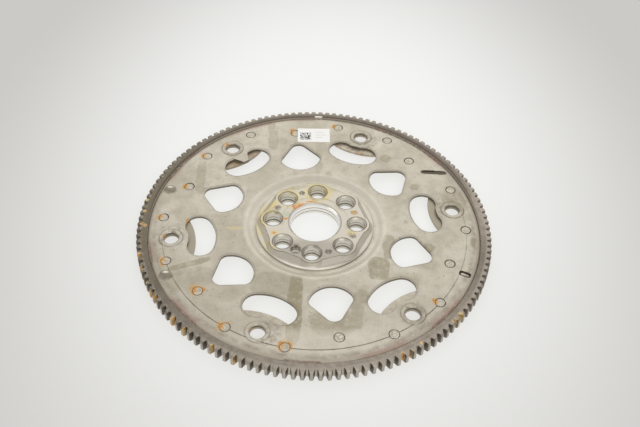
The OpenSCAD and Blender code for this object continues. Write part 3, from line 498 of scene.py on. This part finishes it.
def hubSteel(look):
    finish, tree, shader, coords = newFinish("passivatedHubSteel")
    ragged = wander(tree, coords, *look["drift"])
    big, colour = mottled(tree, coords, look["mottleMm"], (look["base"], look["pale"]))
    shade = patch(tree, ragged, look["shadeAt"], look["shadeHalf"], soft=0.35, strength=0.75)
    colour = layer(tree, colour, look["dark"], shade)
    # what is left of the passivation, olive under straw, with a trace of teal beside the bore
    olive = spotted(tree, ragged, look["oliveSpots"], soft=0.4)
    olive = wear(tree, olive, coords, size=3.0, low=0.3, high=0.65)
    colour = layer(tree, colour, look["olive"], olive)
    straw = spotted(tree, ragged, look["strawSpots"], soft=0.3)
    straw = wear(tree, straw, coords, size=2.6, low=0.32, high=0.6)
    colour = layer(tree, colour, look["straw"], straw)
    teal = patch(tree, ragged, look["tealAt"], look["tealHalf"], soft=0.5, strength=0.5)
    colour = layer(tree, colour, look["teal"], teal)
    rust = spotted(tree, ragged, look["rustSpots"], soft=0.45)
    rust = wear(tree, rust, coords, size=1.5, low=0.3, high=0.5)
    colour = layer(tree, colour, look["rust"], rust)
    # drilled walls, the sloped flanks and the bore are painted light, and the far bolt hole keeps its straw
    level = levelOf(tree)
    radius = radiusOf(tree, coords)
    bearing = bearingOf(tree, coords)
    wall = addNode(tree, "MapRange", {0: level, 1: 0.4, 2: 0.1, 4: 0.8}).outputs[0]
    colour = layer(tree, colour, look["wall"], wall)
    farBolt = polar(look["boltR"], look["boltPhase"])
    stained = patch(tree, ragged, farBolt, (look["stainedHalf"],) * 2, soft=0.15, strength=0.75)
    colour = layer(tree, colour, look["straw"], stained, wall)
    slope = addNode(tree, "MapRange", {0: level, 1: 0.97, 2: 0.9, 4: 0.6}).outputs[0]
    outside = addNode(tree, "MapRange", {0: radius, 1: look["slopeFrom"], 2: look["slopeTo"]}).outputs[0]
    slope = addNode(tree, "Math", {0: slope, 1: outside}, operation="MULTIPLY").outputs[0]
    colour = layer(tree, colour, look["slope"], slope)
    boreWall = addNode(tree, "MapRange", {0: radius, 1: look["boreR"], 2: look["boreR"] - 0.5}).outputs[0]
    colour = layer(tree, colour, look["bore"], boreWall)
    # painted shade in the dowel hole
    dowel = polar(look["boltR"], look["dowelBearing"])
    darkening = patch(tree, ragged, dowel, (look["dowelHalf"],) * 2, soft=0.2)
    darkening = wear(tree, darkening, coords, size=1.6, low=0.35, high=0.6)
    colour = layer(tree, colour, look["darkening"], darkening)
    # bearings fold onto one bolt: a line of painted shade round the countersink and along the top edge of
    # lobes and flanks, where the edge is the zero of the larger of lobe radius less the way from the bolt and
    # flank distance less the way out
    phase, fold = math.radians(look["boltPhase"]), math.radians(look["boltFold"])
    turned = addNode(tree, "Math", {0: bearing, 1: phase}, operation="SUBTRACT").outputs[0]
    folded = addNode(tree, "Math", {0: turned, 1: fold}, operation="PINGPONG").outputs[0]
    along = addNode(tree, "Math", {0: folded}, operation="COSINE").outputs[0]
    along = addNode(tree, "Math", {0: along, 1: radius}, operation="MULTIPLY").outputs[0]
    aside = addNode(tree, "Math", {0: folded}, operation="SINE").outputs[0]
    aside = addNode(tree, "Math", {0: aside, 1: radius}, operation="MULTIPLY").outputs[0]
    beyond = addNode(tree, "Math", {0: along, 1: look["boltR"]}, operation="SUBTRACT").outputs[0]
    offset = addNode(tree, "CombineXYZ", {0: beyond, 1: aside}).outputs[0]
    reach = addNode(tree, "VectorMath", {0: offset}, operation="LENGTH").outputs["Value"]
    fromSlot = addNode(tree, "Math", {0: fold, 1: folded}, operation="SUBTRACT").outputs[0]
    wayOut = addNode(tree, "Math", {0: fromSlot}, operation="COSINE").outputs[0]
    wayOut = addNode(tree, "Math", {0: wayOut, 1: radius}, operation="MULTIPLY").outputs[0]
    lobe = addNode(tree, "Math", {0: look["lobeR"], 1: reach}, operation="SUBTRACT").outputs[0]
    flank = addNode(tree, "Math", {0: look["flankX"], 1: wayOut}, operation="SUBTRACT").outputs[0]
    edge = band(tree, strongest(tree, (lobe, flank)), *look["edgeLine"])
    sink = band(tree, reach, look["sinkR"], 0.4, 0.25, 0.9)
    lines = wear(tree, strongest(tree, (edge, sink)), coords, size=5.0, low=0.15, high=0.55)
    colour = layer(tree, colour, look["crease"], lines)
    # dark joint under the plate in the bore, and a painted highlight on the near rim of the round base
    height = addNode(tree, "SeparateXYZ", {0: coords}).outputs["Z"]
    joint = band(tree, height, *look["jointBand"])
    colour = layer(tree, colour, look["joint"], joint)
    gleam = band(tree, radius, *look["gleamBand"])
    gleamArc = arc(tree, bearing, *look["gleamArc"])
    colour = layer(tree, colour, look["gleam"], gleam, gleamArc)
    tree.links.new(colour, shader.inputs["Base Color"])
    shader.inputs["Metallic"].default_value = 0.8
    dull = {0: big, 1: 0.3, 2: 0.7, 3: look["smoothest"], 4: look["roughest"]}
    dull = addNode(tree, "MapRange", dull).outputs[0]
    dull = addNode(tree, "Math", {0: rust, 1: dull}, operation="MAXIMUM").outputs[0]
    dull = addNode(tree, "Mix", {0: slope, 2: dull, 3: look["rubbed"]}).outputs[0]
    drilled = strongest(tree, (boreWall, wall))
    dull = addNode(tree, "Mix", {0: drilled, 2: dull, 3: look["polished"]}).outputs[0]
    tree.links.new(dull, shader.inputs["Roughness"])
    rough = addNode(tree, "MapRange", {0: boreWall, 3: 0.5, 4: 0.0}).outputs[0]
    grain(tree, coords, shader, size=1.0, height=0.1, strength=rough)
    return finish


# Cold-rolled ring behind the sheet: pale grey brown, with painted shade behind three slots and rust behind
# two
backingLook = {
    "base": "#D0C8B9", "dark": "#B4AA99", "shade": "#A9A08F", "rust": "#A58866", "roughness": 0.5,
    "mottleMm": 6.0, "rustShare": 0.75,
    "shadeArcs": ((131, 16, 5), (11, 16, 5), (191, 16, 5)), "rustArcs": ((131, 14, 5), (71, 14, 5)),
}


def backingSteel(look):
    finish, tree, shader, coords = newFinish("coldRolledBackingSteel")
    colour = mottled(tree, coords, look["mottleMm"], (look["dark"], look["base"]))[1]
    bearing = bearingOf(tree, coords)
    shade = strongest(tree, (arc(tree, bearing, *shadeArc) for shadeArc in look["shadeArcs"]))
    colour = layer(tree, colour, look["shade"], shade)
    rust = strongest(tree, (arc(tree, bearing, *rustArc) for rustArc in look["rustArcs"]))
    rust = wear(tree, rust, coords, size=4.0, low=0.46, high=0.66)
    colour = layer(tree, colour, look["rust"], rust, look["rustShare"])
    tree.links.new(colour, shader.inputs["Base Color"])
    shader.inputs["Metallic"].default_value = 0.7
    shader.inputs["Roughness"].default_value = look["roughness"]
    grain(tree, coords, shader, size=0.8, height=0.15)
    return finish


# Turned spacer steel under a thin film of oil: pale grey, with a bore painted light and a dark joint to the
# sheet
spacerLook = {
    "base": "#DFDACE", "dark": "#CDC6BA", "bore": "#F4F2EC", "joint": "#857D70", "smoothest": 0.26,
    "roughest": 0.51, "polished": 0.15, "mottleMm": 9.0, "boreR": 22.0, "jointBand": (4.0, 0.8, 0.25),
}


def spacerSteel(look):
    finish, tree, shader, coords = newFinish("oiledSpacerSteel")
    radius = radiusOf(tree, coords)
    boreWall = addNode(tree, "MapRange", {0: radius, 1: look["boreR"], 2: look["boreR"] - 0.5}).outputs[0]
    cloud, colour = mottled(tree, coords, look["mottleMm"], (look["dark"], look["base"]), roughness=0.6)
    colour = layer(tree, colour, look["bore"], boreWall)
    height = addNode(tree, "SeparateXYZ", {0: coords}).outputs["Z"]
    joint = band(tree, height, *look["jointBand"])
    colour = layer(tree, colour, look["joint"], joint)
    tree.links.new(colour, shader.inputs["Base Color"])
    shader.inputs["Metallic"].default_value = 0.8
    dull = addNode(tree, "MapRange", {0: cloud, 3: look["smoothest"], 4: look["roughest"]}).outputs[0]
    dull = addNode(tree, "Mix", {0: boreWall, 2: dull, 3: look["polished"]}).outputs[0]
    tree.links.new(dull, shader.inputs["Roughness"])
    rough = addNode(tree, "MapRange", {0: boreWall, 3: 0.5, 4: 0.0}).outputs[0]
    grain(tree, coords, shader, size=0.9, height=0.12, strength=rough)
    return finish


# Flush rivets of soft steel: the sheet's own grey, rust creeping in from the left, a painted highlight on the
# near ones
rivetLook = {
    "base": "#C9C2B3", "dark": "#B0A797", "rust": "#E3B878", "gleam": "#F6F3EA", "darkening": "#655C50",
    "roughness": 0.48, "mottleMm": 3.0, "drift": (2.5, 0.7), "rustShift": (-3.2, 0.8), "rustWidth": 0.6,
    "near": (38.0, -114.0), "nearHalf": (42.0, 18.0),
    "rustSpots": (  # radius, bearing, reach
        (117.85, 100.9, 3.4), (127.8, 141.9, 3.2), (117.85, 160.9, 3.2), (127.8, 179.9, 3.0),
        (117.85, -139.1, 4.2), (127.8, -158.1, 3.6), (127.8, -120.1, 3.8), (127.8, -98.1, 4.0),
        (127.8, 81.9, 2.6), (127.8, -38.1, 2.6), (38.078, 17.579, 3.0), (35.3, 155.4, 2.0),
    ),
    "darkSpots": ((35.3, 155.4, 2.0), (35.3, -69.6, 2.6), (35.3, -24.6, 1.6)),
}


def rivetSteel(look):
    finish, tree, shader, coords = newFinish("headedRivetSteel")
    ragged = wander(tree, coords, *look["drift"])
    tones = (look["dark"], look["base"])
    colour = mottled(tree, coords, look["mottleMm"], tones, (0.4, 0.6), detail=5.0)[1]
    rust = strongest(tree, (patch(tree, ragged, polar(out, at, look["rustShift"]),
                                  (look["rustWidth"] * reach, reach), soft=0.35)
                            for out, at, reach in look["rustSpots"]))
    rust = wear(tree, rust, coords, size=1.4, low=0.32, high=0.55)
    colour = layer(tree, colour, look["rust"], rust)
    gleam = patch(tree, coords, look["near"], look["nearHalf"])
    gleam = wear(tree, gleam, coords, size=1.4, low=0.52, high=0.62)
    colour = layer(tree, colour, look["gleam"], gleam)
    darkening = strongest(tree, (patch(tree, ragged, polar(out, at), (reach, reach), soft=0.4)
                            for out, at, reach in look["darkSpots"]))
    darkening = wear(tree, darkening, coords, size=1.2, low=0.35, high=0.55)
    colour = layer(tree, colour, look["darkening"], darkening)
    tree.links.new(colour, shader.inputs["Base Color"])
    shader.inputs["Metallic"].default_value = 0.75
    dull = addNode(tree, "Math", {0: rust, 1: look["roughness"]}, operation="MAXIMUM").outputs[0]
    tree.links.new(dull, shader.inputs["Roughness"])
    grain(tree, coords, shader, size=0.7, height=0.15)
    return finish


# Arc weld metal: dark scaled beads with a brown red heat tint
weldLook = {"scale": "#7B6D61", "metal": "#A89C8E", "tint": "#96756A", "roughness": 0.55,
            "mottleMm": 2.5, "tintMm": 18.0}


def weldMetal(look):
    finish, tree, shader, coords = newFinish("arcWeldMetal")
    tones = (look["scale"], look["metal"])
    colour = mottled(tree, coords, look["mottleMm"], tones, (0.4, 0.62), detail=5.0)[1]
    wide = addNode(tree, "TexNoise", {"Vector": coords, "Scale": 1 / look["tintMm"]}).outputs["Fac"]
    tint = addNode(tree, "MapRange", {0: wide, 1: 0.42, 2: 0.6, 4: 0.7}).outputs[0]
    colour = layer(tree, colour, look["tint"], tint)
    tree.links.new(colour, shader.inputs["Base Color"])
    shader.inputs["Metallic"].default_value = 0.7
    shader.inputs["Roughness"].default_value = look["roughness"]
    grain(tree, coords, shader, size=0.6, height=0.2)
    return finish


# Coated label paper: clean white with a printed block of random cells and a few pale grey strokes
labelLook = {
    "paper": "#FFFEFB", "ink": "#4A4A4C", "stroke": "#D9D7D2", "roughness": 0.5, "fibreMm": 0.6,
    "centre": (-4.8, 113.7), "turn": 2.2, "block": (-7.6, -1.6), "blockHalf": 5.2, "cellMm": 0.8,
    "strokeHalf": 0.35,
    "strokes": (((5.5, 4.2), 4.5), ((6.5, 0.4), 5.5), ((4.8, -3.0), 3.6)),  # middle and half length
}


def labelPaper(look):
    finish, tree, shader, coords = newFinish("coatedLabelPaper")
    place = {"Location": look["centre"] + (0,), "Rotation": (0, 0, math.radians(look["turn"])),
             "Scale": (1, 1, anyHeight)}
    local = addNode(tree, "Mapping", {"Vector": coords, **place}, vector_type="TEXTURE").outputs[0]
    # a cell is dark by chance, and only inside the block
    cells = addNode(tree, "VectorMath", {0: local, 1: (look["cellMm"],) * 3}, operation="SNAP").outputs[0]
    chance = addNode(tree, "TexWhiteNoise", {"Vector": cells}, noise_dimensions="2D").outputs["Value"]
    dark = addNode(tree, "Math", {0: chance, 1: 0.5}, operation="GREATER_THAN").outputs[0]
    place = {"Location": look["block"] + (0,), "Scale": (look["blockHalf"],) * 3}
    square = addNode(tree, "Mapping", {"Vector": local, **place}, vector_type="TEXTURE").outputs[0]
    square = addNode(tree, "VectorMath", {0: square}, operation="ABSOLUTE").outputs[0]
    square = addNode(tree, "SeparateXYZ", {0: square}).outputs
    inside = addNode(tree, "Math", {0: square["X"], 1: square["Y"]}, operation="MAXIMUM").outputs[0]
    inside = addNode(tree, "Math", {0: inside, 1: 1.0}, operation="LESS_THAN").outputs[0]
    dark = addNode(tree, "Math", {0: dark, 1: inside}, operation="MULTIPLY").outputs[0]
    fibre = addNode(tree, "TexNoise", {"Vector": coords, "Scale": 1 / look["fibreMm"],
                                       "Detail": 4.0}).outputs["Fac"]
    fibre = addNode(tree, "MapRange", {0: fibre, 1: 0.3, 2: 0.7, 3: 0.97, 4: 1.0}).outputs[0]
    strokes = strongest(tree, (patch(tree, local, at, (half, look["strokeHalf"]), soft=0.1, boxy=True)
                               for at, half in look["strokes"]))
    tones = {6: linear(look["paper"]), 7: linear(look["stroke"])}
    colour = addNode(tree, "Mix", {0: strokes, **tones}, **rgba).outputs[2]
    colour = layer(tree, colour, look["ink"], dark)
    colour = addNode(tree, "VectorMath", {0: colour, "Scale": fibre}, operation="SCALE").outputs[0]
    tree.links.new(colour, shader.inputs["Base Color"])
    shader.inputs["Roughness"].default_value = look["roughness"]
    return finish


finishes = {
    "drive_plate": drawnSheet(plateLook), "ring_gear": gearRing(gearLook),
    "front_hub_plate": hubSteel(hubLook), "backing_ring": backingSteel(backingLook),
    "rear_hub_spacer": spacerSteel(spacerLook), "rivets": rivetSteel(rivetLook),
    "rim_welds": weldMetal(weldLook), "label": labelPaper(labelLook),
}
finishes["hub_rivets"] = finishes["rivets"]
for name, finish in finishes.items():
    nodes[name].data.materials.clear()
    nodes[name].data.materials.append(finish)
print("finishes set on", len(finishes), "pieces")

# Weld beads in the groove beside the ring gear, in place of the plain CAD beads
weldBead = {
    "middle": (51.5, 150.5, 196.5, 225, 268, 318), "half": (16.5, 9.5, 4.5, 6.5, 6, 6),
    "bendX": 136.2, "bendZ": 5.45, "bendR": 3.64, "wallR": 139.78, "lowZ": 6.6, "topZ": 8.8,
    "crown": 0.35, "ripple": 0.12, "rippleMm": 1.9, "moonMm": 1.1, "stepMm": 0.32, "taperMm": 3.0,
    "underPoints": 7, "overPoints": 9, "tipR": 139.38, "tipZ": 7.9,
}


def beadSurface(look, middle, half):
    # a closed section carried round an arc: up the gear's wall, back over a crowned top, down along the bend
    # of the sheet; the top rises as a parabola across, times a ripple of half moons along the arc, and both
    # ends taper to a point
    length = math.radians(2 * half) * look["wallR"]
    along = np.linspace(0.0, length, int(length / look["stepMm"]) + 1)
    ends = np.clip(np.minimum(along, length - along) / look["taperMm"], 0.0, 1.0)
    ends = np.sqrt(1 - (1 - ends) ** 2)[:, None]
    lowTurn = math.asin((look["lowZ"] - look["bendZ"]) / look["bendR"])
    highTurn = math.asin((look["topZ"] - look["bendZ"]) / look["bendR"])
    turn = np.linspace(highTurn, lowTurn, look["underPoints"])
    underR = look["bendX"] + look["bendR"] * np.cos(turn)
    underZ = look["bendZ"] + look["bendR"] * np.sin(turn)
    across = np.linspace(0.0, 1.0, look["overPoints"])[:-1]
    overR = look["wallR"] + (underR[0] - look["wallR"]) * across
    sectionR = np.concatenate([underR, overR])
    sectionZ = np.concatenate([underZ, np.full(len(across), look["topZ"])])
    flat = np.zeros(look["underPoints"])
    crown = np.concatenate([flat, 4 * across * (1 - across)])
    moon = np.concatenate([flat, across])
    phase = 2 * math.pi * (along[:, None] + look["moonMm"] * (2 * moon[None] - 1) ** 2) / look["rippleMm"]
    lift = crown[None] * (look["crown"] + look["ripple"] * np.sin(phase))
    radius = look["tipR"] + (sectionR[None] - look["tipR"]) * ends
    height = look["tipZ"] + (sectionZ[None] + lift - look["tipZ"]) * ends
    bearing = math.radians(middle - half) + along[:, None] / look["wallR"]
    points = np.stack([radius * np.cos(bearing), radius * np.sin(bearing), height], -1) * mm
    rows, cols = radius.shape
    ids = np.arange(rows * cols).reshape(rows, cols)
    here, there = ids[:-1], ids[1:]
    quads = np.stack([here, there, np.roll(there, -1, 1), np.roll(here, -1, 1)], -1).reshape(-1, 4)
    return points.reshape(-1, 3), quads


def makeWelds(look):
    allPoints, allQuads, start = [], [], 0
    for middle, half in zip(look["middle"], look["half"]):
        points, quads = beadSurface(look, middle, half)
        allPoints.append(points)
        allQuads.append(quads + start)
        start += len(points)
    mesh = bpy.data.meshes.new("weldBeads")
    mesh.from_pydata(np.concatenate(allPoints).tolist(), [], np.concatenate(allQuads).tolist())
    mesh.validate()
    piece = bpy.data.objects.new("weldBeads", mesh)
    bpy.context.scene.collection.objects.link(piece)
    mesh.shade_smooth()
    mesh.materials.append(finishes["rim_welds"])
    return piece


weldBeads = makeWelds(weldBead)
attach(weldBeads, "root")
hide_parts("rim_welds")
print("weld beads:", len(weldBeads.data.polygons), "faces")

# Stage: pale matt floor with a painted pool of light under the part, and even light with panels behind, left
# and in front
stageLook = {
    "floor": "#F8F8F6", "far": "#CDCCC9", "floorHalf": 3.0, "pool": (10, 90), "poolHalf": (225, 330),
    "cameraShare": 0.75, "air": (1.0, 0.99, 0.97, 1.0), "airStrength": 0.62,
    "panels": (("backPanel", (0.1, 1.15, 1.05), (1.9, 1.0), 5.5),  # place and size in m, watts
               ("leftPanel", (-1.3, -0.1, 1.0), (1.0, 1.0), 2.0),
               ("frontPanel", (0.5, -1.3, 1.2), (1.2, 0.8), 7.0)),
}


def makeFloor(look):
    half = look["floorHalf"]
    corners = [(-half, -half, 0), (half, -half, 0), (half, half, 0), (-half, half, 0)]
    mesh = bpy.data.meshes.new("studioFloor")
    mesh.from_pydata(corners, [], [(0, 1, 2, 3)])
    floor = bpy.data.objects.new("studioFloor", mesh)
    bpy.context.scene.collection.objects.link(floor)
    finish, tree, shader, coords = newFinish("mattPaintedBoard")
    # a painted pool of light on the floor, brightest under the part
    pool = patch(tree, coords, look["pool"], look["poolHalf"], soft=0.6)
    tones = {6: linear(look["far"]), 7: linear(look["floor"])}
    colour = addNode(tree, "Mix", {0: pool, **tones}, **rgba).outputs[2]
    tree.links.new(colour, shader.inputs["Base Color"])
    shader.inputs["Roughness"].default_value = 0.9
    shader.inputs["Specular IOR Level"].default_value = 0.1
    # the board glows a little where it is seen, also in the metal, and keeps the part's shadow
    glow = addNode(tree, "Emission", {"Color": colour, "Strength": 1.0})
    path = addNode(tree, "LightPath").outputs
    seen = strongest(tree, [path["Is Camera Ray"], path["Is Glossy Ray"], path["Is Transmission Ray"]])
    seen = addNode(tree, "Math", {0: seen, 1: look["cameraShare"]}, operation="MULTIPLY").outputs[0]
    both = addNode(tree, "MixShader", {0: seen, 1: shader.outputs[0], 2: glow.outputs[0]})
    tree.links.new(both.outputs[0], tree.nodes["Material Output"].inputs["Surface"])
    mesh.materials.append(finish)


def makeLight(look):
    world = bpy.data.worlds.new("softRoom")
    bpy.context.scene.world = world
    world.use_nodes = True
    back = world.node_tree.nodes["Background"]
    back.inputs["Color"].default_value = look["air"]
    back.inputs["Strength"].default_value = look["airStrength"]
    for name, place, size, watts in look["panels"]:
        lamp = bpy.data.lights.new(name, "AREA")
        lamp.shape = "RECTANGLE"
        lamp.size, lamp.size_y = size
        lamp.energy = watts
        holder = bpy.data.objects.new(name, lamp)
        holder.location = place
        holder.rotation_euler = (-Vector(place)).to_track_quat("-Z", "Y").to_euler()
        bpy.context.scene.collection.objects.link(holder)


makeFloor(stageLook)
makeLight(stageLook)

# Camera: the photograph's place, worked out for its 640 x 427 frame
cameraPlace = {"elevation": 46.07, "roll": 2.335, "distance": 710.2, "target": (4.04, 12.0, 9.4),
               "lens": 46.71, "sensor": 36.0, "clip": (0.01, 50.0)}


def makeCamera(look):
    lift, roll = math.radians(look["elevation"]), math.radians(look["roll"])
    right = Vector((1, 0, 0))
    back = Vector((0, -math.cos(lift), math.sin(lift)))
    up = back.cross(right)
    side = math.cos(roll) * right + math.sin(roll) * up
    top = -math.sin(roll) * right + math.cos(roll) * up
    lens = bpy.data.cameras.new("photoView")
    lens.sensor_fit = "HORIZONTAL"
    lens.sensor_width = look["sensor"]
    lens.lens = look["lens"]
    lens.clip_start, lens.clip_end = look["clip"]
    holder = bpy.data.objects.new("photoView", lens)
    holder.matrix_world = Matrix((side, top, back)).transposed().to_4x4()
    holder.location = (Vector(look["target"]) + look["distance"] * back) * mm
    bpy.context.scene.collection.objects.link(holder)
    bpy.context.scene.camera = holder


makeCamera(cameraPlace)
bpy.context.scene.view_settings.view_transform = "Standard"
print("stage, light and camera set")
